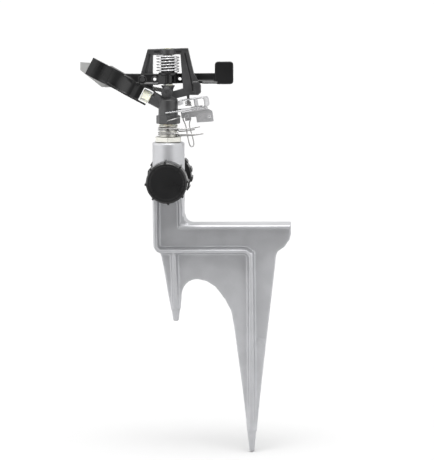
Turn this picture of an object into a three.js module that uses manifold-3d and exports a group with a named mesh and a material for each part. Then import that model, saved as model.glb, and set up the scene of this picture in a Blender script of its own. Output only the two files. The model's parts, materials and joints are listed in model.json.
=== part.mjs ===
// Impact sprinkler on a die-cast step spike.
// Units are millimetres, +Z is up, X runs along the step, the hose ports lie along Y.
// The origin is on the riser's axis at ground level, the underside of the casting's level rib.

import * as THREE from 'three';
import { mergeVertices } from 'three/addons/utils/BufferGeometryUtils.js';
import Module from 'manifold-3d';

// ---------------------------------------------------------------- driving dimensions

const WELD = 1e-4;
const GAP = 0.3;

// Step-spike casting
const RISER = { radius: 14.4, top: 100, bottom: 48, ribTop: 54 };
const SOCKET = { radius: 10.9, floor: 77.2 };
const WATERWAY = { radius: 7.5, floor: 56 };
const RIB = { width: 5.8, crest: 3.2, depth: 24 };
const WEB_DEPTH = 3.8;
const STEP = { top: 26.8, thickness: 3.2, right: 109.4, depth: 30, edge: 2 };
const STEP_FILLET = 7.5;
const SPIKE = {
  x: 73.4,
  tipX: 73.4,
  shoulder: -161.9,
  tip: -180.4,
  shoulderRadius: 4.4,
  tipRadius: 2.2,
};
const STUB = {
  x: 4.5,
  tipX: 5.6,
  shoulder: -51.2,
  tip: -61.4,
  shoulderRadius: 4.1,
  tipRadius: 2.5,
};

// Hose ports, both on one axis along Y
const PORT_Z = 67;
const SPIGOT = { root: 12.3, crest: 13.1, bore: 9, end: -36, pitch: 2.2, crests: 4 };
const REAR_BOSS = { radius: 12.5, end: 22.4 };
const CAP = {
  faceRadius: 17,
  radius: 18.4,
  ribRadius: 19.6,
  ribHalfAngle: 2.8,
  chamfer: 1.4,
  bore: 13.7,
  front: -42,
  floor: -39.6,
  back: -24,
  ribs: 8,
  firstRib: 4,
};
const COUPLING = {
  radius: 19.2,
  ribRadius: 20.6,
  ribHalfAngle: 6.5,
  bore: 13.9,
  start: 23,
  wall: 25.5,
  end: 43,
  ribs: 14,
  firstRib: 17,
};
const TAILPIECE = { radius: 7.2, bore: 5.4, flange: 12 };

// Bearing
const SLEEVE = {
  thread: 10.4,
  threadBottom: 84.5,
  hexFlats: 22.6,
  hexBottom: 100.4,
  hexTop: 105,
  neck: 7.9,
  rim: 8.6,
  rimBottom: 113.9,
  top: 115,
};
const TUBE = { radius: 5.8, bore: 4.2, bottom: 78, top: 128 };

// Impact head, turning about Z
const HUB = { radius: 10.8, bottom: 116.6, top: 124, springWell: 8.3, wellTop: 122.6 };
const STEM = { radius: 8.8, top: 138 };
const COLUMN = { radius: 4.6, flare: 6.4, flareBottom: 147.2, top: 150.8 };
const JET_ANGLE = THREE.MathUtils.degToRad(28);
const JET_ROOT_Z = 131;
const BARREL = { radius: 5, bore: 3.9, end: 17.9 };
const NOZZLE = { tail: 3.5, head: 5.5, start: 18.3, end: 26.3, bore: 2.1 };
const BRIDGE = { top: 184, left: 183.2, beam: 5.2, depth: 7.2, groove: 1.7 };
const PIN = { radius: 1.5, bottom: 147.4, top: 183 };
const SPRING = { radius: 10, wire: 0.65, bottom: 163.6, top: 177.2, turns: 6 };
const SPRING_SEAT = { radius: 8.6, top: 162.4 };

// Impact arm, turning about Z on the fulcrum pin
const ARM = {
  bottom: 152.3,
  top: 161.2,
  near: 4.6,
  far: 8.2,
  hub: 5,
  core: 6.2,
  coreTop: 176.4,
  holes: [[-11.4, 156.9], [10.4, 156.3]],
};
const SPOON = {
  start: -7.4,
  end: 53.2,
  lift: 0.8,
  halfWidth: 8.2,
  sheet: 2.2,
  rim: 1.6,
  grips: 8,
  gripPitch: 2.3,
};

// Trip gear, a bent steel loop on a forked plate, tilted a little
const TRIP = { x: 18, z: 134, tilt: THREE.MathUtils.degToRad(8), sheet: 1.1 };

// Friction collars on the sleeve's neck
const COLLAR = { radius: 8.95, wire: 0.7, pitch: 1.65, turns: 1.68 };

// ---------------------------------------------------------------- solid helpers

const wasm = await Module();
wasm.setup();

const UP = new THREE.Vector3(0, 1, 0);

function signedVolume(positions, triangles) {
  const corners = [new THREE.Vector3(), new THREE.Vector3(), new THREE.Vector3()];
  let sum = 0;
  for (let i = 0; i < triangles.length; i += 3) {
    corners.forEach((corner, k) => corner.fromArray(positions, triangles[i + k] * 3));
    sum += corners[0].dot(corners[1].clone().cross(corners[2]));
  }
  return sum / 6;
}

// A closed geometry as a solid, with its faces turned outward.
function solid(geometry) {
  const bare = geometry.clone();
  bare.deleteAttribute('normal');
  bare.deleteAttribute('uv');
  const merged = mergeVertices(bare, WELD);
  const positions = new Float32Array(merged.attributes.position.array);
  const index = merged.index.array;
  const triangles = [];
  for (let i = 0; i < index.length; i += 3) {
    const [a, b, c] = [index[i], index[i + 1], index[i + 2]];
    if (a !== b && b !== c && c !== a) {
      triangles.push(a, b, c);
    }
  }
  if (signedVolume(positions, triangles) < 0) {
    triangles.reverse();
  }
  const mesh = new wasm.Mesh({
    numProp: 3,
    vertProperties: positions,
    triVerts: new Uint32Array(triangles),
  });
  return new wasm.Manifold(mesh);
}

function join(...solids) {
  return solids.reduce((whole, piece) => whole.add(piece));
}

function cut(body, ...tools) {
  return tools.reduce((whole, tool) => whole.subtract(tool), body);
}

function toGeometry(body) {
  const mesh = body.getMesh();
  const geometry = new THREE.BufferGeometry();
  geometry.setAttribute('position', new THREE.BufferAttribute(new Float32Array(mesh.vertProperties), 3));
  geometry.setIndex(new THREE.BufferAttribute(new Uint32Array(mesh.triVerts), 1));
  geometry.computeVertexNormals();
  return geometry;
}

function box(x0, x1, y0, y1, z0, z1) {
  const geometry = new THREE.BoxGeometry(x1 - x0, y1 - y0, z1 - z0);
  geometry.translate((x0 + x1) / 2, (y0 + y1) / 2, (z0 + z1) / 2);
  return solid(geometry);
}

// A cylinder or cone between two points.
function rod(from, to, radius, sides = 24, endRadius = radius) {
  const start = new THREE.Vector3(...from);
  const axis = new THREE.Vector3(...to).sub(start);
  const geometry = new THREE.CylinderGeometry(endRadius, radius, axis.length(), sides);
  geometry.applyQuaternion(new THREE.Quaternion().setFromUnitVectors(UP, axis.clone().normalize()));
  const middle = start.clone().addScaledVector(axis, 0.5);
  geometry.translate(middle.x, middle.y, middle.z);
  return solid(geometry);
}

function rodZ(radius, z0, z1, sides = 24, x = 0, y = 0) {
  return rod([x, y, z0], [x, y, z1], radius, sides);
}

function rodY(radius, y0, y1, x, z, sides = 24) {
  return rod([x, y0, z], [x, y1, z], radius, sides);
}

function ringZ(outer, inner, z0, z1, sides = 24) {
  return cut(rodZ(outer, z0, z1, sides), rodZ(inner, z0 - 1, z1 + 1, sides));
}

function ringY(outer, inner, y0, y1, x, z, sides = 28) {
  return cut(rodY(outer, y0, y1, x, z, sides), rodY(inner, y0 - 1, y1 + 1, x, z, sides));
}

function outline(points) {
  return new THREE.Shape(points.map(([a, b]) => new THREE.Vector2(a, b)));
}

// An (x, z) outline with thickness from y0 to y1.
function plateY(points, y0, y1) {
  const geometry = new THREE.ExtrudeGeometry(outline(points), { depth: y1 - y0, bevelEnabled: false });
  geometry.rotateX(Math.PI / 2);
  geometry.translate(0, y1, 0);
  return solid(geometry);
}

// An (x, y) outline with thickness from z0 to z1.
function plateZ(points, z0, z1) {
  const geometry = new THREE.ExtrudeGeometry(outline(points), { depth: z1 - z0, bevelEnabled: false });
  geometry.translate(0, 0, z0);
  return solid(geometry);
}

// A (y, z) outline with length from x0 to x1.
function plateX(points, x0, x1) {
  const geometry = new THREE.ExtrudeGeometry(outline(points), { depth: x1 - x0, bevelEnabled: false });
  geometry.rotateX(Math.PI / 2);
  geometry.rotateZ(Math.PI / 2);
  geometry.translate(x0, 0, 0);
  return solid(geometry);
}

// An (r, y) profile turned about the hose ports' axis.
function turnedY(profile, sides) {
  const geometry = new THREE.LatheGeometry(profile.map(([r, y]) => new THREE.Vector2(r, y)), sides);
  geometry.translate(0, 0, PORT_Z);
  return solid(geometry);
}

// Points along an arc, angles in degrees.
function arc(x, y, radius, from, to, steps = 5) {
  return Array.from({ length: steps + 1 }, (_, i) => {
    const angle = THREE.MathUtils.degToRad(from + ((to - from) * i) / steps);
    return [x + radius * Math.cos(angle), y + radius * Math.sin(angle)];
  });
}

// A strip of even width along a line of points.
function strip(points, width) {
  const line = points.map(([a, b]) => new THREE.Vector2(a, b));
  const sides = [[], []];
  line.forEach((point, i) => {
    const before = line[Math.max(i - 1, 0)];
    const after = line[Math.min(i + 1, line.length - 1)];
    const along = after.clone().sub(before).normalize();
    const across = new THREE.Vector2(-along.y, along.x).multiplyScalar(width / 2);
    sides[0].push([point.x + across.x, point.y + across.y]);
    sides[1].unshift([point.x - across.x, point.y - across.y]);
  });
  return [...sides[0], ...sides[1]];
}

// A solid between two matching (x, z) outlines, one at y0 and one at y1.
function loftY(near, far, y0, y1) {
  const count = near.length;
  const flat = near.map(([a, b]) => new THREE.Vector2(a, b));
  const lids = THREE.ShapeUtils.triangulateShape(flat, []).flatMap(([a, b, c]) => [
    a, b, c, c + count, b + count, a + count,
  ]);
  const walls = near.flatMap((_, i) => {
    const next = (i + 1) % count;
    return [next, i, i + count, next, i + count, next + count];
  });
  const corners = [...near.map(([x, z]) => [x, y0, z]), ...far.map(([x, z]) => [x, y1, z])].flat();
  const geometry = new THREE.BufferGeometry();
  geometry.setAttribute('position', new THREE.BufferAttribute(new Float32Array(corners), 3));
  geometry.setIndex([...lids, ...walls]);
  return solid(geometry);
}

// A rib along a line, narrowing from its root at y = 0 to its crests in front and behind.
function draftedRib(line, depth) {
  const root = strip(line, RIB.width).reverse();
  const crest = strip(line, RIB.crest).reverse();
  return join(loftY(root, crest, 0, depth / 2), loftY(crest, root, -depth / 2, 0));
}

// A block between two four-cornered faces given in matching order.
function block(bottom, top) {
  const geometry = new THREE.BufferGeometry();
  const corners = new Float32Array([...bottom, ...top].flat());
  geometry.setAttribute('position', new THREE.BufferAttribute(corners, 3));
  const walls = [0, 1, 2, 3].flatMap((i) => {
    const next = (i + 1) % 4;
    return [i, next, next + 4, i, next + 4, i + 4];
  });
  geometry.setIndex([0, 2, 1, 0, 3, 2, 4, 5, 6, 4, 6, 7, ...walls]);
  return solid(geometry);
}

class WireCurve extends THREE.Curve {
  constructor(pointAt) {
    super();
    this.pointAt = pointAt;
  }

  getPoint(t, target = new THREE.Vector3()) {
    return target.set(...this.pointAt(t));
  }
}

function wire(curve, radius, steps, sides = 6) {
  const section = outline(Array.from({ length: sides }, (_, i) => {
    const angle = (i / sides) * Math.PI * 2;
    return [radius * Math.cos(angle), radius * Math.sin(angle)];
  }));
  return solid(new THREE.ExtrudeGeometry(section, { steps, bevelEnabled: false, extrudePath: curve }));
}

function bentWire(points, radius, steps, sides = 6) {
  const path = new THREE.CatmullRomCurve3(points.map((p) => new THREE.Vector3(...p)), false, 'centripetal');
  return wire(path, radius, steps, sides);
}

// ---------------------------------------------------------------- materials and assembly

const LOOKS = {
  paintedZinc: { color: 0xa2a4a7, roughness: 0.5, metalness: 0.35 },
  blackPlastic: { color: 0x242425, roughness: 0.5, metalness: 0 },
  capPlastic: { color: 0x2a2a2a, roughness: 0.45, metalness: 0 },
  steel: { color: 0xb4b4b6, roughness: 0.3, metalness: 1 },
  plated: { color: 0xb5b3a6, roughness: 0.3, metalness: 1 },
  whitePlastic: { color: 0xe6e6da, roughness: 0.5, metalness: 0 },
  greyPlastic: { color: 0x8a8a88, roughness: 0.55, metalness: 0 },
  rubber: { color: 0x1d1d1d, roughness: 0.8, metalness: 0 },
  brass: { color: 0xb5924c, roughness: 0.35, metalness: 1 },
};

const sprinkler = new THREE.Group();

function add(name, body, look, parent = sprinkler) {
  const mesh = new THREE.Mesh(toGeometry(body), new THREE.MeshStandardMaterial(LOOKS[look]));
  mesh.name = name;
  parent.add(mesh);
}

// ---------------------------------------------------------------- step-spike casting

// The level rib turns up into the riser's left rib and down into the long spike.
function ribLine() {
  const left = -11.6;
  const level = 2.7;
  const bend = 5.2;
  return [
    [-12, RISER.ribTop],
    ...arc(left + bend, level + bend, bend, 180, 270),
    ...arc(SPIKE.x - 7, level - 7, 7, 90, 0),
    [SPIKE.x + 0.1, -12],
  ];
}

function webOutline() {
  return [
    [-12, RISER.ribTop],
    [-11.6, 3],
    [-7.6, -0.6],
    [-3.9, -19.4],
    [-1.8, -33.5],
    [1.5, STUB.shoulder],
    [9.7, STUB.shoulder],
    [11, -37],
    ...arc(24.8, -37.3, 13.7, 172, 84, 7),
    [33.8, -25.6],
    [41.5, -30.6],
    [50.1, -42],
    [55.6, -52.8],
    [58.2, -68.3],
    [61.1, -91.1],
    [64.9, -120.4],
    [68.1, -149.8],
    [69.1, SPIKE.shoulder],
    [77.8, SPIKE.shoulder],
    [80.8, -132],
    [84.9, -96],
    [90.7, -47.4],
    [95, -11],
    [95.8, -2.8],
    [97.3, 1.2],
    [103.4, 5.4],
    [108, 12],
    [STEP.right, 17.2],
    [STEP.right, STEP.top - 1],
    [11.5, STEP.top - 1],
    [11.2, RISER.ribTop],
  ];
}

function stepFillet() {
  const x = RISER.radius + STEP_FILLET;
  const z = STEP.top + STEP_FILLET;
  return [[x, STEP.top - 1], ...arc(x, z, STEP_FILLET, 270, 180), [RISER.radius - 3, z], [9, STEP.top - 1]];
}

// The foot step, with its long top edges rounded.
function footStep() {
  const side = STEP.depth / 2;
  const section = [
    [-side, STEP.top - STEP.thickness],
    [side, STEP.top - STEP.thickness],
    ...arc(side - STEP.edge, STEP.top - STEP.edge, STEP.edge, 0, 90, 4),
    ...arc(STEP.edge - side, STEP.top - STEP.edge, STEP.edge, 90, 180, 4),
  ];
  return plateX(section, 9, STEP.right);
}

// The upright rib of a spike, on one side of the web, drafted and tapering to the tip.
function spikeRibSide(spike, topDepth, side) {
  const face = (x, z, width, crest, depth) => [
    [x - width / 2, 0, z],
    [x + width / 2, 0, z],
    [x + crest / 2, (side * depth) / 2, z],
    [x - crest / 2, (side * depth) / 2, z],
  ];
  const tipWidth = spike.shoulderRadius * 1.7;
  return block(
    face(spike.tipX - 0.3, spike.shoulder, tipWidth, tipWidth * 0.6, spike.shoulderRadius * 2),
    face(spike.x, 1.5, RIB.width, RIB.crest, topDepth),
  );
}

function spikeRib(spike, topDepth) {
  const tip = rod(
    [spike.tipX - 0.1, 0, spike.shoulder + 2],
    [spike.tipX, 0, spike.tip],
    spike.shoulderRadius,
    12,
    spike.tipRadius,
  );
  return join(spikeRibSide(spike, topDepth, -1), spikeRibSide(spike, topDepth, 1), tip);
}

function spigot() {
  const flank = 0.5;
  const threads = Array.from({ length: SPIGOT.crests }, (_, i) => {
    const y = SPIGOT.end + 2.4 + i * SPIGOT.pitch;
    return [[SPIGOT.root, y - flank], [SPIGOT.crest, y], [SPIGOT.root, y + flank]];
  }).flat();
  return turnedY([[0, SPIGOT.end], [SPIGOT.root, SPIGOT.end], ...threads, [SPIGOT.root, -1], [0, -1]], 28);
}

function spikeCasting() {
  const rib = RIB.depth / 2;
  const web = WEB_DEPTH / 2;
  const ejectorPad = rodY(3.3, -web - 0.6, web + 0.6, 81.7, -80.6, 12);
  const body = join(
    rodZ(RISER.radius, RISER.bottom, RISER.top - 0.8, 40),
    rod([0, 0, RISER.top - 0.8], [0, 0, RISER.top], RISER.radius, 40, RISER.radius - 0.7),
    plateY(webOutline(), -web, web),
    draftedRib(ribLine(), RIB.depth),
    draftedRib([[11.4, STEP.top - 2], [11.1, RISER.ribTop]], RIB.depth),
    plateY(stepFillet(), -rib, rib),
    footStep(),
    spikeRib(SPIKE, RIB.depth),
    spikeRib(STUB, RIB.depth - 4),
    ejectorPad,
    spigot(),
    rodY(REAR_BOSS.radius, 0, REAR_BOSS.end, 0, PORT_Z, 32),
  );
  return cut(
    body,
    rodZ(SOCKET.radius, SOCKET.floor, RISER.top + 1, 32),
    rodZ(WATERWAY.radius, WATERWAY.floor, SOCKET.floor + 1, 24),
    rodY(SPIGOT.bore, SPIGOT.end - 1, 0, 0, PORT_Z, 24),
    rodY(WATERWAY.radius + 0.4, -1, REAR_BOSS.end + 1, 0, PORT_Z, 24),
  );
}

add('spike_casting', spikeCasting(), 'paintedZinc');

// ---------------------------------------------------------------- hose ports

// Grip ribs around an axis along Y.
function gripRibs({ radius, ribRadius, ribs, firstRib, ribHalfAngle }, y0, y1) {
  return Array.from({ length: ribs }, (_, i) => {
    const middle = firstRib + (i * 360) / ribs;
    const points = [
      ...arc(0, PORT_Z, ribRadius, middle - ribHalfAngle, middle + ribHalfAngle, 2),
      ...arc(0, PORT_Z, radius - 1, middle + ribHalfAngle, middle - ribHalfAngle, 1),
    ];
    return plateY(points, y0, y1);
  });
}

function outletCap() {
  const shell = join(
    rodY(CAP.radius, CAP.front + CAP.chamfer, CAP.back, 0, PORT_Z, 40),
    rod([0, CAP.front + CAP.chamfer, PORT_Z], [0, CAP.front, PORT_Z], CAP.radius, 40, CAP.faceRadius),
    ...gripRibs(CAP, CAP.front + 0.3, CAP.back),
  );
  return cut(
    shell,
    rodY(CAP.bore, CAP.floor, CAP.back + 1, 0, PORT_Z, 28),
    ringY(15.4, 14.8, CAP.front - 1, CAP.front + 0.4, 0, PORT_Z, 32),
  );
}

function hoseCoupling() {
  const shell = join(
    rodY(COUPLING.radius, COUPLING.start, COUPLING.end, 0, PORT_Z, 32),
    ...gripRibs(COUPLING, COUPLING.start + 1.5, COUPLING.end - 2),
  );
  return cut(
    shell,
    rodY(COUPLING.bore, COUPLING.wall, COUPLING.end + 1, 0, PORT_Z, 28),
    rodY(TAILPIECE.radius + 0.8, COUPLING.start - 1, COUPLING.wall + 1, 0, PORT_Z, 24),
  );
}

function swivelTailpiece() {
  const flange = COUPLING.wall + GAP;
  const body = join(
    rodY(TAILPIECE.radius, REAR_BOSS.end - 10, flange + 1.6, 0, PORT_Z, 24),
    rodY(TAILPIECE.flange, flange, flange + 1.6, 0, PORT_Z, 28),
  );
  return cut(body, rodY(TAILPIECE.bore, 0, COUPLING.end, 0, PORT_Z, 20));
}

const washerStart = COUPLING.wall + 2.3;
add('outlet_cap', outletCap(), 'capPlastic');
add('cap_washer', ringY(13.2, 6, CAP.floor + GAP, SPIGOT.end - GAP, 0, PORT_Z), 'rubber');
add('swivel_tailpiece', swivelTailpiece(), 'brass');
add('hose_coupling', hoseCoupling(), 'capPlastic');
add('inlet_washer', ringY(13.3, 7.6, washerStart, washerStart + 2.6, 0, PORT_Z), 'rubber');
add('inlet_screen', rodY(7.1, washerStart + 0.2, washerStart + 1.2, 0, PORT_Z, 20), 'steel');

// ---------------------------------------------------------------- bearing

function bearingSleeve() {
  const hex = rodZ(SLEEVE.hexFlats / 2 / Math.cos(Math.PI / 6), SLEEVE.hexBottom, SLEEVE.hexTop, 6);
  const body = join(
    rodZ(SLEEVE.thread, SLEEVE.threadBottom, SLEEVE.hexBottom + 0.5, 32),
    hex,
    rodZ(SLEEVE.neck, SLEEVE.hexTop - 1, SLEEVE.top, 32),
    rodZ(SLEEVE.rim, SLEEVE.rimBottom, SLEEVE.top, 32),
  );
  return cut(body, rodZ(TUBE.radius + 0.4, 80, SLEEVE.top + 1, 28));
}

function bearingTube() {
  const body = join(
    rodZ(TUBE.radius, TUBE.bottom, TUBE.top, 28),
    rodZ(8.4, TUBE.bottom, TUBE.bottom + 1.5, 28),
  );
  return cut(body, rodZ(TUBE.bore, TUBE.bottom - 1, TUBE.top + 1, 24));
}

function coilPath(radius, bottom, top, turns, startAngle = 0) {
  return new WireCurve((t) => {
    const angle = startAngle + t * turns * Math.PI * 2;
    return [radius * Math.cos(angle), radius * Math.sin(angle), bottom + (top - bottom) * t];
  });
}

add('bearing_sleeve', bearingSleeve(), 'plated');
add('bearing_tube', bearingTube(), 'brass');
add('thrust_washer', ringZ(8.4, TUBE.radius + GAP, 79.8, 81.1), 'whitePlastic');
add('seal_washer', ringZ(8.6, TUBE.radius + GAP, 81.4, 82.7), 'rubber');
add('friction_washer', ringZ(8.4, TUBE.radius + GAP, 83, 84.2), 'whitePlastic');
add('dust_washer', ringZ(8.2, TUBE.radius + GAP, SLEEVE.top + GAP, SLEEVE.top + 1.2), 'whitePlastic');
add('bearing_spring', wire(coilPath(7.2, 117.3, 121.6, 2.6), 0.55, 34), 'steel');

// ---------------------------------------------------------------- impact head

// A point on the jet's axis, measured from the stem's axis.
function jetPoint(distance, up = 0) {
  const along = [-Math.cos(JET_ANGLE) * distance, Math.sin(JET_ANGLE) * distance];
  return [along[0] + Math.sin(JET_ANGLE) * up, 0, JET_ROOT_Z + along[1] + Math.cos(JET_ANGLE) * up];
}

const DIFFUSER_PIVOT = { x: -1.2, z: 145 };
const TRIP_POST_X = 18;

function bridge() {
  const y = BRIDGE.depth / 2;
  const leftLeg = [
    [-17.9, BRIDGE.left], [-24, 162], [-24.8, 153.6], [-22.4, 150.6], [-13.1, 145.6], [-11.7, 140.6],
    [-8, 139.4], [-10, 142.8], [-13, 147.8], [-13.6, 152], [-13, BRIDGE.left - 1],
  ];
  const rightLeg = [
    [18.2, BRIDGE.top], [11.4, BRIDGE.top], [11.4, 178], [13.3, 152], [13.5, 147.6],
    [18.6, 142.3], [27.2, 142.3], [29.5, 144.6], [29.5, 150.4], [23.3, 161.4],
  ];
  const rightGroove = strip([[15.3, 180], [20.4, 158], [22, 150], [22.4, 145.4]], 1.4);
  const leftGroove = [[-16.6, 179], [-15, 179], [-18.4, 158], [-18.8, 153], [-21.6, 153], [-21.8, 158]];
  const beamGroove = [[-12.4, 180], [-12.4, 181.8], [-6.8, 181.8], [-6.8, 180]];
  const beam = [
    [-17.8, BRIDGE.left], [18.2, BRIDGE.top], [18, BRIDGE.top - BRIDGE.beam],
    [-17.4, BRIDGE.left - BRIDGE.beam],
  ];
  const kneePad = [
    [20.8, 154.2], [27.4, 154.2], [28.9, 150.2], [28.9, 145], [27, 143], [24.4, 143], [24.2, 150],
  ];
  const lowerBeam = [[14.5, 148.4], [3, 145.2], [1, 137.8], [4, 138.4], [20, 142.4], [20, 146]];
  const frame = join(
    plateY(leftLeg, -y, y),
    plateY(rightLeg, -y, y),
    plateY(lowerBeam, -y + 0.6, y - 0.6),
    plateY(beam, -y, y),
    plateY(kneePad, -y - 1.3, y),
    rodZ(6.4, BRIDGE.top - BRIDGE.beam - 0.6, BRIDGE.left, 24),
  );
  const grooves = [leftGroove, rightGroove, beamGroove, beamGroove.map(([x, z]) => [-x, z])];
  const tools = grooves.flatMap((points) => [
    plateY(points, -y - 1, -y + BRIDGE.groove),
    plateY(points, y - BRIDGE.groove, y + 1),
  ]);
  return cut(frame, ...tools);
}

// The ledge along the barrel's front, with its top sloped like a roof over a drafted wall.
function barrelLedge() {
  const [left, middle, right] = [[-11.7, 145.4], [-4.6, 141.4], [1.6, 139.2]];
  const roof = ([x, z]) => [[x, -1, z], [x, -1, z - 2.6], [x, -5.6, z - 2.6], [x, -3.4, z]];
  const wall = ([x, z]) => [[x, -1, z - 2.6], [x, -1, z - 6], [x, -4.4, z - 6], [x, -5.6, z - 2.6]];
  const pieces = [roof, wall].flatMap((section) => [
    block(section(left), section(middle)),
    block(section(middle), section(right)),
  ]);
  return join(...pieces);
}

function sprinklerBody() {
  const { x, z } = DIFFUSER_PIVOT;
  const ribTop = [[-13.4, 143.6], [-12.6, 138], [2.6, 132], [2.6, 137.8], [-2.6, 138.4]];
  const body = join(
    rodZ(HUB.radius, HUB.bottom, HUB.top, 8),
    rodZ(STEM.radius, HUB.top - 1, STEM.top, 32),
    rod([0, 0, STEM.top], [0, 0, STEM.top + 3], STEM.radius, 32, COLUMN.radius),
    rodZ(COLUMN.radius, STEM.top, COLUMN.top, 24),
    rod([0, 0, COLUMN.flareBottom], [0, 0, COLUMN.top], COLUMN.radius, 24, COLUMN.flare),
    rod([0, 0, JET_ROOT_Z], jetPoint(BARREL.end), BARREL.radius, 24),
    plateY(ribTop, -1.4, 1.4),
    barrelLedge(),
    rodY(4.8, -6.5, 7.4, x, z, 20),
    rod([x, -6.5, z], [x, -7.4, z], 4.8, 20, 3.9),
    bridge(),
    rodZ(1.3, 133, 143, 12, TRIP_POST_X),
  );
  return cut(
    body,
    rodZ(HUB.springWell, HUB.bottom - 1, HUB.wellTop, 28),
    rodZ(TUBE.radius + GAP, HUB.bottom - 1, TUBE.top + GAP, 28),
    rodZ(TUBE.bore, HUB.bottom, JET_ROOT_Z + 1.5, 20),
    rod([0, 0, JET_ROOT_Z], jetPoint(BARREL.end + 2), BARREL.bore, 20),
    rodZ(PIN.radius + GAP, PIN.bottom - GAP, COLUMN.top + 1, 16),
    rodZ(3.2, BRIDGE.left - BRIDGE.beam - 2, BRIDGE.top + 1, 20),
    rodY(1.7, -8, 8, DIFFUSER_PIVOT.x, DIFFUSER_PIVOT.z, 14),
  );
}

function nozzle() {
  const body = join(
    rod(jetPoint(9.5), jetPoint(NOZZLE.start + 1), NOZZLE.tail, 20),
    rod(jetPoint(NOZZLE.start), jetPoint(NOZZLE.end), NOZZLE.head, 8),
  );
  return cut(
    body,
    rod(jetPoint(8), jetPoint(NOZZLE.start + 4), 2.6, 16, NOZZLE.bore),
    rod(jetPoint(NOZZLE.start + 3), jetPoint(NOZZLE.end + 1), NOZZLE.bore, 16),
  );
}

function bearingCap() {
  const body = join(
    rodZ(2.9, BRIDGE.top - 4.4, BRIDGE.top + 1, 20),
    rod([0, 0, BRIDGE.top + 0.4], [0, 0, BRIDGE.top + 1.4], 5, 24, 3.6),
  );
  return cut(body, rodZ(PIN.radius + GAP, BRIDGE.top - 6, PIN.top + GAP, 16));
}

function springPath() {
  const lead = 0.06;
  return new WireCurve((t) => {
    const climb = THREE.MathUtils.clamp((t - lead) / (1 - 2 * lead), 0, 1);
    const angle = -0.6 + t * SPRING.turns * Math.PI * 2;
    const z = SPRING.bottom + (SPRING.top - SPRING.bottom) * climb;
    return [SPRING.radius * Math.cos(angle), SPRING.radius * Math.sin(angle), z];
  });
}

add('sprinkler_body', sprinklerBody(), 'blackPlastic');
add('nozzle', nozzle(), 'whitePlastic');
add('fulcrum_pin', rodZ(PIN.radius, PIN.bottom, PIN.top, 16), 'steel');
add('bearing_cap', bearingCap(), 'whitePlastic');
add('arm_spring', wire(springPath(), SPRING.wire, 104), 'steel');
add('arm_washer_lower', ringZ(4.2, PIN.radius + GAP, COLUMN.top + GAP, ARM.bottom - GAP), 'whitePlastic');
add('arm_washer_upper', ringZ(4.2, PIN.radius + GAP, ARM.coreTop + 0.4, ARM.coreTop + 1.4), 'whitePlastic');

const screwHead = rodY(3.3, -9.2, -7.7, DIFFUSER_PIVOT.x, DIFFUSER_PIVOT.z, 20);
const screwShank = rodY(1.3, -8, 11.6, DIFFUSER_PIVOT.x, DIFFUSER_PIVOT.z, 14);
const screwSocket = rodY(1.8, -10, -8.2, DIFFUSER_PIVOT.x, DIFFUSER_PIVOT.z, 6);
const nut = rodY(3.2, 9.9, 11.4, DIFFUSER_PIVOT.x, DIFFUSER_PIVOT.z, 6);
add('diffuser_screw', cut(join(screwHead, screwShank), screwSocket), 'steel');
add('diffuser_nut', cut(nut, rodY(1.6, 9, 12, DIFFUSER_PIVOT.x, DIFFUSER_PIVOT.z, 14)), 'steel');

// ---------------------------------------------------------------- impact arm

// The spoon's own frame: x runs out along the jet, y toward the front, z across the jet.
function spoonFrame() {
  const origin = new THREE.Vector3(...jetPoint(NOZZLE.end, SPOON.lift));
  const along = new THREE.Vector3(-Math.cos(JET_ANGLE), 0, Math.sin(JET_ANGLE));
  const across = new THREE.Vector3(Math.sin(JET_ANGLE), 0, Math.cos(JET_ANGLE));
  return new THREE.Matrix4().makeBasis(along, new THREE.Vector3(0, -1, 0), across).setPosition(origin);
}

function curveLine(points, steps) {
  const path = new THREE.SplineCurve(points.map(([a, b]) => new THREE.Vector2(a, b)));
  return path.getPoints(steps).map((p) => [p.x, p.y]);
}

function spoon() {
  const innerVane = curveLine([
    [0.6, 5.4], [5.6, 5.6], [8.6, 7.2], [12, 7.2], [16, 5.4], [21, 2], [27, -2.2], [33, -6.2],
  ], 16);
  const outerVane = curveLine([
    [33, 3.4], [37.2, 5.8], [41.6, 7.2], [46.6, 7.2], [SPOON.end, 5.4],
  ], 10);
  const floor = [
    ...curveLine([[SPOON.start, 4.9], [2, 5], [10, 4.4], [19, 0], [27, -4], [34, -7.2]], 8),
    [36.4, -6.4],
    [37.6, 4],
    [SPOON.end, 4],
    [SPOON.end, 6.6],
    ...curveLine([[46.6, 8.2], [41.6, 8.4], [36.8, 7.2], [32, 5]], 6),
    ...curveLine([[21.4, 5.4], [14, 8.4], [2, 9], [SPOON.start, 7.8]], 7),
  ];
  const ledge = spoonLedge();
  const grooves = Array.from({ length: SPOON.grips }, (_, i) => {
    const x = 5 + i * SPOON.gripPitch;
    return box(x, x + 0.9, 3, 12, SPOON.halfWidth, SPOON.halfWidth + 3);
  });
  const body = join(
    cut(ledge, ...grooves),
    plateZ(strip(innerVane, SPOON.sheet), -SPOON.halfWidth, SPOON.halfWidth),
    plateZ(strip(outerVane, SPOON.sheet), -SPOON.halfWidth, SPOON.halfWidth),
    plateZ(floor, -SPOON.halfWidth, -SPOON.halfWidth + SPOON.rim),
    plateZ(floor, SPOON.halfWidth - SPOON.rim, SPOON.halfWidth),
  );
  return body.transform(spoonFrame().elements);
}

// A raised ledge on the spoon's upper plate, its front sloped like a roof.
function spoonLedge() {
  const h = SPOON.halfWidth;
  const section = (x) => [[x, 4.4, h - 1.4], [x, 9.4, h - 1.4], [x, 7.2, h + 1.1], [x, 4.4, h + 1.1]];
  return block(section(3.6), section(21.6));
}

// A lip along the beam's lower edge, standing out from the face at y with a sloped top.
function lip(x0, x1, y, side) {
  const out = y + side * 1.7;
  const root = y - side;
  const low = ARM.bottom - 0.4;
  const points = [[root, low], [out, low], [out, low + 0.9], [root, low + 3.1]];
  return plateX(points, x0, x1);
}

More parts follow.
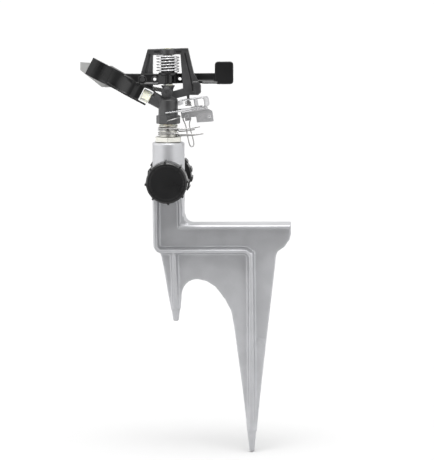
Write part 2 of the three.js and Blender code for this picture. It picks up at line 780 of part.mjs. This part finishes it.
function impactArm() {
  const diagonal = [
    [-12, -ARM.far], [-8, -ARM.far], [12, ARM.near], [12, ARM.far], [8, ARM.far], [-12, -ARM.near],
  ];
  const paddle = [
    ...arc(44.4, 154, 2.7, 180, 270, 3),
    ...arc(55.6, 154, 2.7, 270, 360, 3),
    ...arc(55.6, 168.8, 2.7, 0, 90, 3),
    ...arc(44.4, 168.8, 2.7, 90, 180, 3),
  ];
  const leftBeam = [
    [-40, 162.4], [-38, ARM.top + 0.7], [-8, ARM.top + 0.4], [-8, ARM.bottom], [-24, ARM.bottom], [-30, 150],
  ];
  const leftPocket = [[-34, 160.4], [-25.6, 160.2], [-25.6, 153.8], [-28, 153.8]];
  const rightPocket = [[25, 154.6], [40.4, 154.6], [41.4, 155.6], [41.4, 159.9], [25, 159.9]];
  const holeBosses = ARM.holes.map(([x, z], i) => {
    const face = i === 0 ? [-ARM.far - 0.6, -ARM.near] : [ARM.near - 0.6, ARM.far];
    return rodY(2.6, face[0], face[1], x, z, 20);
  });
  const body = join(
    plateY(leftBeam, -ARM.far, -ARM.near),
    plateZ(diagonal, ARM.bottom, ARM.top),
    box(8, 44, ARM.near, ARM.far, ARM.bottom, ARM.top),
    lip(30.4, 44, ARM.near, -1),
    lip(22, 44, ARM.far, 1),
    lip(-24, -8, -ARM.far, -1),
    plateY(paddle, ARM.near - 0.6, ARM.far + 0.6),
    ...holeBosses,
    ringY(3.4, 2.6, -ARM.far - 0.7, -ARM.far + 0.5, -22.4, 156.6, 24),
    rodZ(SPRING_SEAT.radius, ARM.top - 1, SPRING_SEAT.top, 32),
    rodZ(ARM.hub, ARM.bottom, ARM.top, 28),
    rodZ(ARM.core, ARM.top - 1, ARM.coreTop, 28),
    spoon(),
  );
  return cut(
    body,
    rodZ(2.9, ARM.bottom - 1, ARM.coreTop + 1, 24),
    ...ARM.holes.map(([x, z]) => rodY(1.5, -12, 12, x, z, 16)),
    plateY(leftPocket, -12, -ARM.far + 1),
    plateY(rightPocket, 0, ARM.near + 1),
    plateY(rightPocket, ARM.far - 1, 12),
    rodY(1.3, -12, 0, -22.4, 156.6, 12),
  );
}

const bossScrew = join(
  rodY(2.3, -9.8, -ARM.far - GAP, -22.4, 156.6, 16),
  rodY(0.9, -9, -ARM.near, -22.4, 156.6, 12),
);
add('impact_arm', impactArm(), 'blackPlastic');
add('arm_bushing', ringZ(2.6, PIN.radius + 0.35, ARM.bottom, ARM.coreTop, 24), 'brass');
add('arm_screw', bossScrew, 'steel');

// ---------------------------------------------------------------- diffuser flap

function diffuserFlap() {
  const plate = [
    [-79, 164.2], [-79, 171.6], [-66, 170.6], [-44, 161.4], [-38, 157.6],
    [-36, 151.6], [-44, 149.2], [-55.3, 148.6], [-60, 148.9],
  ];
  const strap = strip([[DIFFUSER_PIVOT.x, DIFFUSER_PIVOT.z], [-12.6, 147.2], [-40, 155.5]], 3.6);
  const body = join(
    plateY(plate, 8, 9.5),
    plateY(strap, 8, 9.5),
    rodY(4.5, 8, 9.5, DIFFUSER_PIVOT.x, DIFFUSER_PIVOT.z, 20),
  );
  return cut(body, rodY(1.65, 7, 11, DIFFUSER_PIVOT.x, DIFFUSER_PIVOT.z, 14));
}

add('diffuser_flap', diffuserFlap(), 'greyPlastic');

// ---------------------------------------------------------------- trip gear

// The trip gear's own frame: x along the loop, z across it, tilted up to the right.
const tripGroup = new THREE.Group();
tripGroup.position.set(TRIP.x, 0, TRIP.z);
tripGroup.rotation.y = -TRIP.tilt;
sprinkler.add(tripGroup);

const RIVET_X = [3.6, 10.6];
const TRIP_PIN_PIVOT = { x: -2.4, z: -9.9 };
const LOOP = { left: -6.6, right: 16.6, low: -4.4, high: 4.2, halfDepth: 5, bend: 2.4, skew: 1.7 };

// A plate across the loop, its front edge set to the left of its rear edge.
function skewedPlate(points, halfDepth) {
  const shift = (LOOP.skew * halfDepth) / LOOP.halfDepth;
  const moved = (by) => points.map(([x, z]) => [x + by, z]).reverse();
  return loftY(moved(-shift), moved(shift), -halfDepth, halfDepth);
}

function tripLever() {
  const line = [
    [LOOP.left, 0.2],
    [LOOP.left, LOOP.high],
    ...arc(LOOP.right - LOOP.bend, LOOP.high - LOOP.bend, LOOP.bend, 90, 0, 4),
    ...arc(LOOP.right - LOOP.bend, LOOP.low + LOOP.bend, LOOP.bend, 0, -90, 4),
    [0.4, LOOP.low],
  ];
  const fork = [
    [-20.8, -11.4], [-7, -11.4], [1.6, -LOOP.halfDepth], [1.6, LOOP.halfDepth], [-7, 11.4],
    [-20.8, 11.4], [-20.8, 9.7], [-8.4, 9.7], [-7, 7.6], [-7, -7.6], [-8.4, -9.7], [-20.8, -9.7],
  ];
  const overTop = [[LOOP.left - TRIP.sheet / 2, LOOP.high], ...line.slice(2)];
  const stay = [[7.1, LOOP.low], [7.1, LOOP.high]];
  const loop = join(
    skewedPlate(strip(line.slice(0, 2), TRIP.sheet), LOOP.halfDepth),
    skewedPlate(strip(overTop, TRIP.sheet), LOOP.halfDepth),
    skewedPlate(strip(stay, TRIP.sheet), LOOP.halfDepth * 0.7),
    plateZ(fork, LOOP.low - TRIP.sheet / 2, LOOP.low + TRIP.sheet / 2),
  );
  const slot = box(-2.6, 3, -3.4, 3.4, LOOP.high - 3, LOOP.high + 3);
  const holes = RIVET_X.map((x) => rodZ(1.25, LOOP.low - 2, LOOP.low + 2, 12, x));
  return cut(loop, slot, ...holes);
}

function tripYoke() {
  const top = LOOP.low - TRIP.sheet / 2 - GAP;
  const seat = [
    [-6.6, -8.6], [2, -5], [17, -5], [17, 5], [2, 5], [-6.6, 8.6], [-6.6, 7], [-4.4, 3], [-4.4, -3],
    [-6.6, -7],
  ];
  const rear = [[6, top - 0.4], [6, -16], [19.4, -16], [19.4, -9.6], [15.4, top - 0.4]];
  const hanging = [
    [-7.6, top - 0.4], [-7.6, -11.4], [5.4, -12], [5.4, -17.2], ...arc(19.4, -17, 1.4, 270, 360, 3),
    ...arc(19.2, -9.2, 1.6, 0, 90, 3), [16.6, top - 0.4],
  ];
  const body = join(
    plateZ(seat, top - TRIP.sheet, top),
    plateY(hanging, -4.4, -3.3),
    plateY(rear, 3.3, 4.4),
  );
  return cut(
    body,
    rodY(1.1, -6, 0, 17.2, -13.4, 12),
    rodY(1.15, -6, 0, TRIP_PIN_PIVOT.x, TRIP_PIN_PIVOT.z, 12),
    ...RIVET_X.map((x) => rodZ(1.25, top - 3, top + 1, 12, x)),
  );
}

function tripRivet(x) {
  const yokeBottom = LOOP.low - TRIP.sheet * 1.5 - GAP;
  return join(
    rodZ(0.95, yokeBottom - 0.9, LOOP.low + 1.5, 12, x),
    rodZ(1.9, LOOP.low + TRIP.sheet / 2 + GAP, LOOP.low + 1.6, 16, x),
    rodZ(1.7, yokeBottom - 1.1, yokeBottom - GAP, 16, x),
  );
}

function tripSpring() {
  return bentWire([
    [-8.2, -6.2, -9.4], [-12.4, -11.2, -10.4], [-16, -12.5, -11], [-20.4, -12.5, -11.6],
  ], 0.6, 20);
}

add('trip_lever', tripLever(), 'steel', tripGroup);
add('trip_yoke', tripYoke(), 'steel', tripGroup);
RIVET_X.forEach((x, i) => add(`trip_rivet_${i + 1}`, tripRivet(x), 'steel', tripGroup));
add('trip_spring', tripSpring(), 'steel', tripGroup);
add('detent_spring', wire(coilPath(2.6, -1.7, 2.6, 2.8), 0.5, 36), 'steel', tripGroup);

// The hairpin hangs from a clip riveted to the yoke's hanging plate.
function pinRivet() {
  const { x, z } = TRIP_PIN_PIVOT;
  return join(
    rodY(0.8, -5.4, 0.4, x, z, 12),
    rodY(1.8, -5.5, -4.7, x, z, 16),
    rodY(1.5, -0.1, 0.6, x, z, 16),
  );
}

function pinClip() {
  const { x, z } = TRIP_PIN_PIVOT;
  const tongue = [[x - 2.4, z - 4.6], [x + 2.4, z - 4.6], [x + 2.4, z], [x - 2.4, z]];
  const body = join(rodY(2.7, -3, -2, x, z, 20), plateY(tongue, -3, -2));
  return cut(body, rodY(1.1, -4, -1, x, z, 12));
}

const PIN_PLANE_Y = -1;
const hairpin = [
  [15.4, 124.2], [14, 123.2], [13.2, 121.2], [15.1, 116.4], [16.1, 112.4], [17.3, 105.4], [18.7, 98.8],
  [19.8, 96.4], [21.3, 95.7], [22.6, 96.9], [22.8, 99.4], [21.4, 105.6], [19.4, 112.8], [19, 117.2],
  [20.3, 121.2], [19.6, 123.2], [18.5, 124.2],
].map(([x, z]) => [x, PIN_PLANE_Y, z]);

add('pin_rivet', pinRivet(), 'steel', tripGroup);
add('pin_clip', pinClip(), 'steel', tripGroup);
add('trip_pin', bentWire(hairpin, 0.65, 48), 'steel');

// ---------------------------------------------------------------- friction collars

function frictionCollar(bottom, tips) {
  const sweep = COLLAR.turns * Math.PI * 2;
  const steps = 20;
  const rise = COLLAR.pitch * COLLAR.turns;
  const ring = Array.from({ length: steps + 1 }, (_, i) => {
    const angle = (sweep * i) / steps;
    return [COLLAR.radius * Math.cos(angle), COLLAR.radius * Math.sin(angle), bottom + (rise * i) / steps];
  });
  return bentWire([...tips[0], ...ring, ...tips[1]], COLLAR.wire, 92);
}

add('lower_collar', frictionCollar(106.1, [
  [[32, -12.4, 108.6], [24, -11, 107.2], [13.4, -7, 106.3], [10.1, -4.2, 106.1]],
  [[3.4, -11.6, 109], [12, -13.8, 108.3], [26, -13.8, 108]],
]), 'steel');
add('upper_collar', frictionCollar(110.1, [
  [[24.4, -11.2, 112.2], [18, -9, 111], [13.4, -7, 110.3], [10.1, -4.2, 110.1]],
  [[3.4, -11.6, 113.2], [14, -13.8, 112.8], [22, -13.8, 113.6], [29.3, -13.8, 115]],
]), 'steel');

export default sprinkler;
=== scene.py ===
import json
import math

import bpy
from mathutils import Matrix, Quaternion, Vector


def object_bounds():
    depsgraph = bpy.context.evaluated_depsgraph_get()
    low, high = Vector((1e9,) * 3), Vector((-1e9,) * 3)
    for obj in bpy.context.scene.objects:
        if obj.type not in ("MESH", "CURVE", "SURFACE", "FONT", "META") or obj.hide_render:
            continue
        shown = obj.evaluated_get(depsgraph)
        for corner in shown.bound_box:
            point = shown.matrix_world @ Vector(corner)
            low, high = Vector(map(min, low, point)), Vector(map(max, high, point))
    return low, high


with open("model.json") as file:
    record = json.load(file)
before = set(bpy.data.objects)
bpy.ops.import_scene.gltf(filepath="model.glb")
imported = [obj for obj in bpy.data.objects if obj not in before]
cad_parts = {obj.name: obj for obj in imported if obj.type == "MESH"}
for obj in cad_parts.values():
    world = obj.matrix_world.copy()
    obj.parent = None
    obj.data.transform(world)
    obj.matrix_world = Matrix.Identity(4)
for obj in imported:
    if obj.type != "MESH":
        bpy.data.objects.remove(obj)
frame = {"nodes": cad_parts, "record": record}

MM = 0.001
nodes = frame["nodes"]
size_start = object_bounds()


# ---------------------------------------------------------------- node helpers

class Nodes:
    """A small wrapper for building one node tree."""

    def __init__(self, tree):
        self.tree = tree
        tree.nodes.clear()

    def new(self, kind, **settings):
        node = self.tree.nodes.new(kind)
        for name, value in settings.items():
            setattr(node, name, value)
        return node

    def link(self, source, target):
        self.tree.links.new(source, target)

    def put(self, socket, value):
        if isinstance(value, bpy.types.NodeSocket):
            self.link(value, socket)
        else:
            socket.default_value = value

    def math(self, operation, a, b=0.0):
        node = self.new("ShaderNodeMath", operation=operation)
        self.put(node.inputs[0], a)
        self.put(node.inputs[1], b)
        return node.outputs[0]

    def noise(self, vector, scale, detail, roughness=0.55):
        node = self.new("ShaderNodeTexNoise")
        self.link(vector, node.inputs["Vector"])
        node.inputs["Scale"].default_value = scale
        node.inputs["Detail"].default_value = detail
        node.inputs["Roughness"].default_value = roughness
        return node.outputs["Fac"]

    def stretch(self, vector, scale):
        node = self.new("ShaderNodeMapping")
        self.link(vector, node.inputs["Vector"])
        node.inputs["Scale"].default_value = scale
        return node.outputs["Vector"]

    def span(self, value, low, high, out_low, out_high, smooth=False):
        kind = "SMOOTHSTEP" if smooth else "LINEAR"
        node = self.new("ShaderNodeMapRange", interpolation_type=kind)
        self.link(value, node.inputs["Value"])
        for name, number in (
            ("From Min", low),
            ("From Max", high),
            ("To Min", out_low),
            ("To Max", out_high),
        ):
            node.inputs[name].default_value = number
        return node.outputs["Result"]

    def mix(self, factor, a, b):
        node = self.new("ShaderNodeMix", data_type="RGBA")
        self.put(node.inputs["Factor"], factor)
        self.put(node.inputs["A"], a)
        self.put(node.inputs["B"], b)
        return node.outputs["Result"]

    def bump(self, height, strength, distance):
        node = self.new("ShaderNodeBump")
        self.link(height, node.inputs["Height"])
        node.inputs["Strength"].default_value = strength
        node.inputs["Distance"].default_value = distance
        return node.outputs["Normal"]


# ---------------------------------------------------------------- finishes

# Noise scales, in cells per metre.
PATCH_SCALE = 55.0
SCUFF_SCALE = 160.0
DUST_SCALE = 90.0

# Most values of the noise lie between these two.
NOISE_LOW, NOISE_HIGH = 0.3, 0.7

# How far the fine grain darkens the colour, and how much of it shows.
GRAIN_DARKER = 1.6
GRAIN_SHARE = 0.35

# How far the roughness varies with the patches and with the grain, as shares of it.
PATCH_ROUGH_LOW, PATCH_ROUGH_HIGH = 0.88, 1.12
GRAIN_ROUGH_DOWN, GRAIN_ROUGH_UP = 0.08, 0.1

# Where the surface counts as an outer edge, as pointiness.
EDGE_START, EDGE_FULL = 0.54, 0.62

DUST_COLOUR = (0.5, 0.49, 0.47)
DUST_ROUGHENS = 0.4
DUST_THINNEST = 0.2
SCATTER_RADIUS = (1.0, 0.9, 0.7)
SCATTER_DEPTH = 1.5 * MM


def shade(r, g, b, by=1.0):
    return (r * by, g * by, b * by, 1.0)


def mottled(n, patches, fine, colour, vary):
    """The colour, lighter and darker in soft patches with a darker fine grain."""
    light = shade(*colour, by=1 + vary)
    dark = shade(*colour, by=1 - vary)
    darkest = shade(*colour, by=1 - GRAIN_DARKER * vary)
    tint = n.mix(n.span(patches, 0.35, 0.65, 0.0, 1.0, smooth=True), dark, light)
    return n.mix(n.span(fine, NOISE_LOW, NOISE_HIGH, 0.0, GRAIN_SHARE), tint, darkest)


def uneven(n, patches, fine, rough):
    """The roughness, which follows the same patches and grain as the colour."""
    broad = n.span(
        patches, NOISE_LOW, NOISE_HIGH, rough * PATCH_ROUGH_LOW, rough * PATCH_ROUGH_HIGH
    )
    close = n.span(fine, NOISE_LOW, NOISE_HIGH, -rough * GRAIN_ROUGH_DOWN, rough * GRAIN_ROUGH_UP)
    return n.math("ADD", broad, close)


def worn_edges(n, place, tint, edge_colour, share):
    """Rubbed outer edges, broken up by scuffs."""
    pointed = n.new("ShaderNodeNewGeometry").outputs["Pointiness"]
    edges = n.span(pointed, EDGE_START, EDGE_FULL, 0.0, 1.0, smooth=True)
    rubbing = n.noise(place, SCUFF_SCALE, detail=5.0, roughness=0.7)
    scuffs = n.span(rubbing, 0.42, 0.6, 0.0, share, smooth=True)
    return n.mix(n.math("MULTIPLY", edges, scuffs), tint, shade(*edge_colour))


def dust_film(n, place, dust):
    """How much dust has settled, more on what faces up."""
    up = n.new("ShaderNodeSeparateXYZ")
    n.link(n.new("ShaderNodeNewGeometry").outputs["Normal"], up.inputs[0])
    settled = n.span(up.outputs["Z"], 0.2, 1.0, 0.0, dust)
    clouds = n.noise(place, DUST_SCALE, detail=5.0, roughness=0.65)
    cloudy = n.span(clouds, 0.4, 0.7, DUST_THINNEST, 1.0)
    return n.math("MULTIPLY", settled, cloudy)


def surface(
    name,
    colour,
    vary,
    rough,
    metallic=0.0,
    grain=900.0,
    relief=0.03,
    relief_strength=0.3,
    brushed=None,
    worn=None,
    dust=0.0,
    subsurface=0.0,
    ior=1.5,
):
    """A procedural finish: mottled colour, uneven gloss, fine relief, worn edges and dust.

    relief is in millimetres, grain in cells per metre, and worn is an edge colour and its share.
    """
    material = bpy.data.materials.new(name)
    material.use_nodes = True
    n = Nodes(material.node_tree)
    place = n.new("ShaderNodeTexCoord").outputs["Object"]
    patches = n.noise(place, PATCH_SCALE, detail=4.0)
    grained = n.stretch(place, brushed) if brushed else place
    fine = n.noise(grained, grain, detail=3.0, roughness=0.6)
    tint = mottled(n, patches, fine, colour, vary)
    gloss = uneven(n, patches, fine, rough)
    if worn:
        tint = worn_edges(n, place, tint, *worn)
    if dust:
        film = dust_film(n, place, dust)
        tint = n.mix(film, tint, shade(*DUST_COLOUR))
        gloss = n.math("ADD", gloss, n.math("MULTIPLY", film, DUST_ROUGHENS))
    shader = n.new("ShaderNodeBsdfPrincipled")
    n.link(tint, shader.inputs["Base Color"])
    n.link(gloss, shader.inputs["Roughness"])
    n.link(n.bump(fine, relief_strength, relief * MM), shader.inputs["Normal"])
    shader.inputs["Metallic"].default_value = metallic
    shader.inputs["IOR"].default_value = ior
    if subsurface:
        shader.inputs["Subsurface Weight"].default_value = subsurface
        shader.inputs["Subsurface Radius"].default_value = SCATTER_RADIUS
        shader.inputs["Subsurface Scale"].default_value = SCATTER_DEPTH
    n.link(shader.outputs[0], n.new("ShaderNodeOutputMaterial").inputs["Surface"])
    return material


FINISH = {
    "painted_zinc": surface(
        "painted_zinc", (0.43, 0.433, 0.447), 0.045, 0.4, metallic=0.5, grain=1400.0,
        relief=0.04, relief_strength=0.35, worn=((0.62, 0.62, 0.61), 0.5), dust=0.03,
    ),
    "black_plastic": surface(
        "black_plastic", (0.004, 0.004, 0.0043), 0.2, 0.3, ior=1.45, grain=1100.0,
        relief=0.03, relief_strength=0.25, worn=((0.05, 0.05, 0.05), 0.5), dust=0.02,
    ),
    # A lighter copy of black plastic for the sprinkler body: painted light, standing in for the light
    # its sloped leg faces catch.
    "lit_black_plastic": surface(
        "lit_black_plastic", (0.036, 0.036, 0.037), 0.3, 0.36, grain=900.0,
        relief=0.04, relief_strength=0.35, worn=((0.1, 0.1, 0.1), 0.5), dust=0.03,
    ),
    "steel": surface(
        "steel", (0.62, 0.62, 0.63), 0.2, 0.22, metallic=0.75, grain=700.0,
        brushed=(1.0, 1.0, 8.0), relief=0.02, relief_strength=0.25,
    ),
    "spring_wire": surface(
        "spring_wire", (0.33, 0.325, 0.32), 0.16, 0.22, metallic=1.0, grain=500.0,
        brushed=(1.0, 1.0, 1.0), relief=0.02, relief_strength=0.3,
    ),
    "black_steel": surface(
        "black_steel", (0.09, 0.09, 0.092), 0.2, 0.34, metallic=0.7, grain=900.0,
        relief=0.02, relief_strength=0.25, worn=((0.16, 0.16, 0.16), 0.5),
    ),
    "plated_metal": surface(
        "plated_metal", (0.46, 0.455, 0.42), 0.1, 0.28, metallic=1.0, grain=600.0,
        brushed=(1.0, 1.0, 6.0), relief=0.02, relief_strength=0.25,
    ),
    "white_plastic": surface(
        "white_plastic", (0.9, 0.9, 0.78), 0.05, 0.36, grain=900.0, subsurface=0.35,
        relief=0.02, relief_strength=0.2,
    ),
    "grey_plastic": surface(
        "grey_plastic", (0.36, 0.36, 0.355), 0.1, 0.42, grain=900.0,
        relief=0.03, relief_strength=0.3, worn=((0.55, 0.55, 0.54), 0.4), dust=0.03,
    ),
    "black_rubber": surface(
        "black_rubber", (0.014, 0.014, 0.014), 0.2, 0.75, grain=800.0,
        relief=0.05, relief_strength=0.4,
    ),
    "brass": surface(
        "brass", (0.72, 0.5, 0.22), 0.08, 0.3, metallic=1.0, grain=700.0,
        brushed=(1.0, 6.0, 1.0), relief=0.02, relief_strength=0.25,
    ),
}


# ---------------------------------------------------------------- CAD nodes and their finishes

WELD_DISTANCE = 0.002 * MM
SOFTEN = 0.5
ROUNDING = 2

SLOT_OF = {
    part["node"]: part["material_slot"]
    for part in frame["record"].get("subparts", [])
    if "material_slot" in part
}


def weld(obj):
    modifier = obj.modifiers.new("weld", "WELD")
    modifier.merge_threshold = WELD_DISTANCE


def moulded(name, voxel, passes):
    """Softens the edges of a solid node, whether cast, moulded, stamped or turned."""
    obj = nodes[name]
    weld(obj)
    remesh = obj.modifiers.new("skin", "REMESH")
    remesh.mode = "VOXEL"
    remesh.voxel_size = voxel * MM
    remesh.use_smooth_shade = True
    smooth = obj.modifiers.new("soften", "SMOOTH")
    smooth.factor = SOFTEN
    smooth.iterations = passes


def drawn(name):
    """Rounds the section of a wire node."""
    obj = nodes[name]
    weld(obj)
    rounder = obj.modifiers.new("round", "SUBSURF")
    rounder.levels = ROUNDING
    rounder.render_levels = ROUNDING


# Each node's voxel in millimetres and its smoothing passes.
MOULDED = {
    "spike_casting": (0.8, 5),
    "outlet_cap": (0.34, 4),
    "hose_coupling": (0.4, 4),
    "sprinkler_body": (0.32, 4),
    "impact_arm": (0.36, 4),
    "nozzle": (0.2, 3),
    "bearing_sleeve": (0.3, 3),
    "diffuser_flap": (0.3, 3),
    "bearing_cap": (0.2, 3),
    "trip_lever": (0.18, 3),
    "trip_yoke": (0.18, 3),
    "trip_rivet_1": (0.16, 3),
    "trip_rivet_2": (0.16, 3),
    "pin_clip": (0.15, 3),
    "pin_rivet": (0.14, 3),
    "diffuser_screw": (0.18, 3),
    "diffuser_nut": (0.18, 3),
    "arm_screw": (0.16, 3),
    "swivel_tailpiece": (0.35, 3),
    "cap_washer": (0.35, 3),
    "inlet_washer": (0.35, 3),
    "arm_washer_lower": (0.18, 3),
    "arm_washer_upper": (0.18, 3),
    "dust_washer": (0.22, 3),
}
DARK_WIRE = (
    "bearing_spring",
    "trip_spring",
    "detent_spring",
    "trip_pin",
    "lower_collar",
    "upper_collar",
)
DRAWN = ("arm_spring", *DARK_WIRE)

for node_name, (voxel, passes) in MOULDED.items():
    moulded(node_name, voxel, passes)
for node_name in DRAWN:
    drawn(node_name)

# Nodes whose finish is a variant of their slot's. The body's is a lighter copy of black plastic:
# painted light, for the brighter look its sloped faces get from the light.
VARIANT = {"sprinkler_body": "lit_black_plastic"}
VARIANT.update({name: "spring_wire" for name in DARK_WIRE})

for node_name, obj in nodes.items():
    slot = SLOT_OF.get(node_name)
    if slot:
        obj.data.materials.clear()
        obj.data.materials.append(FINISH[VARIANT.get(node_name, slot)])


# ---------------------------------------------------------------- floor

FLOOR_SIZE = 24.0
FLOOR_CENTRE = (0.05, 11.2)
FLOOR_DROP = 0.6 * MM
PAPER_GREY = 0.46
PAPER_ROUGHNESS = 0.9

floor_height = size_start[0].z - FLOOR_DROP
bpy.ops.mesh.primitive_plane_add(size=FLOOR_SIZE, location=(*FLOOR_CENTRE, floor_height))
floor = bpy.context.object
floor.name = "floor"
paper = bpy.data.materials.new("paper")
paper.use_nodes = True
paper_shader = paper.node_tree.nodes["Principled BSDF"]
paper_shader.inputs["Base Color"].default_value = shade(PAPER_GREY, PAPER_GREY, PAPER_GREY)
paper_shader.inputs["Roughness"].default_value = PAPER_ROUGHNESS
floor.data.materials.append(paper)


# ---------------------------------------------------------------- light

# A dim room with softboxes at both sides, weaker ones at the two front corners, a strong one
# overhead that leans to the front, and a bright wall behind. A higher falloff narrows a box.
ROOM_GLOW = 0.22
SIDE_GLOW = 2.0
SIDE_FALLOFF = 4.0
LEFT_OVER_RIGHT = 0.15
CORNER_GLOW = 1.4
CORNER_FALLOFF = 3.0
OVERHEAD_GLOW = 11.0
OVERHEAD_FALLOFF = 12.0
OVERHEAD_UP = 0.96
OVERHEAD_FORWARD = 0.28
WALL_GLOW = 0.5
WALL_START, WALL_FULL = -0.1, 0.5

world = bpy.data.worlds.new("tent")
bpy.context.scene.world = world
world.use_nodes = True
w = Nodes(world.node_tree)
direction = w.new("ShaderNodeSeparateXYZ")
w.link(w.new("ShaderNodeTexCoord").outputs["Generated"], direction.inputs[0])
x, y, z = direction.outputs
sideways = w.math("ABSOLUTE", x)

sides = w.math("POWER", sideways, SIDE_FALLOFF)
balance = w.math("SUBTRACT", 1.0, w.math("MULTIPLY", x, LEFT_OVER_RIGHT))
sides = w.math("MULTIPLY", sides, balance)

lean = w.math("SUBTRACT", w.math("MULTIPLY", z, OVERHEAD_UP), w.math("MULTIPLY", y, OVERHEAD_FORWARD))
overhead = w.math("POWER", w.math("MAXIMUM", lean, 0.0), OVERHEAD_FALLOFF)

# Doubled, so that the product with x reaches 1 halfway between front and side.
front = w.math("MAXIMUM", w.math("MULTIPLY", y, -2.0), 0.0)
corners = w.math("POWER", w.math("MULTIPLY", sideways, front), CORNER_FALLOFF)

wall = w.span(y, WALL_START, WALL_FULL, 0.0, 1.0, smooth=True)

glow = w.math("ADD", w.math("MULTIPLY", sides, SIDE_GLOW), w.math("MULTIPLY", overhead, OVERHEAD_GLOW))
glow = w.math("ADD", glow, w.math("MULTIPLY", corners, CORNER_GLOW))
glow = w.math("ADD", glow, w.math("MULTIPLY", wall, WALL_GLOW))
glow = w.math("ADD", glow, ROOM_GLOW)
sky = w.new("ShaderNodeBackground")
w.link(glow, sky.inputs["Strength"])
sky.inputs["Color"].default_value = shade(1.0, 1.0, 1.0)
w.link(sky.outputs[0], w.new("ShaderNodeOutputWorld").inputs["Surface"])


# ---------------------------------------------------------------- camera

AZIMUTH = math.radians(2.0)
ELEVATION = math.radians(6.5)
ROLL = math.radians(0.35)
DISTANCE = 3.0
SENSOR_WIDTH = 36.0
LENS = 261.7
AIM = Vector((43.0 * MM, 0.0, 20.7 * MM))

camera_data = bpy.data.cameras.new("camera")
camera_data.sensor_width = SENSOR_WIDTH
camera_data.lens = LENS
camera = bpy.data.objects.new("camera", camera_data)
bpy.context.scene.collection.objects.link(camera)
away = Vector((
    math.sin(AZIMUTH) * math.cos(ELEVATION),
    -math.cos(AZIMUTH) * math.cos(ELEVATION),
    math.sin(ELEVATION),
))
camera.location = AIM + away * DISTANCE
camera.rotation_mode = "QUATERNION"
upright = (-away).to_track_quat("-Z", "Y")
camera.rotation_quaternion = upright @ Quaternion((0.0, 0.0, 1.0), -ROLL)
bpy.context.scene.camera = camera
bpy.context.scene.view_settings.view_transform = "Standard"
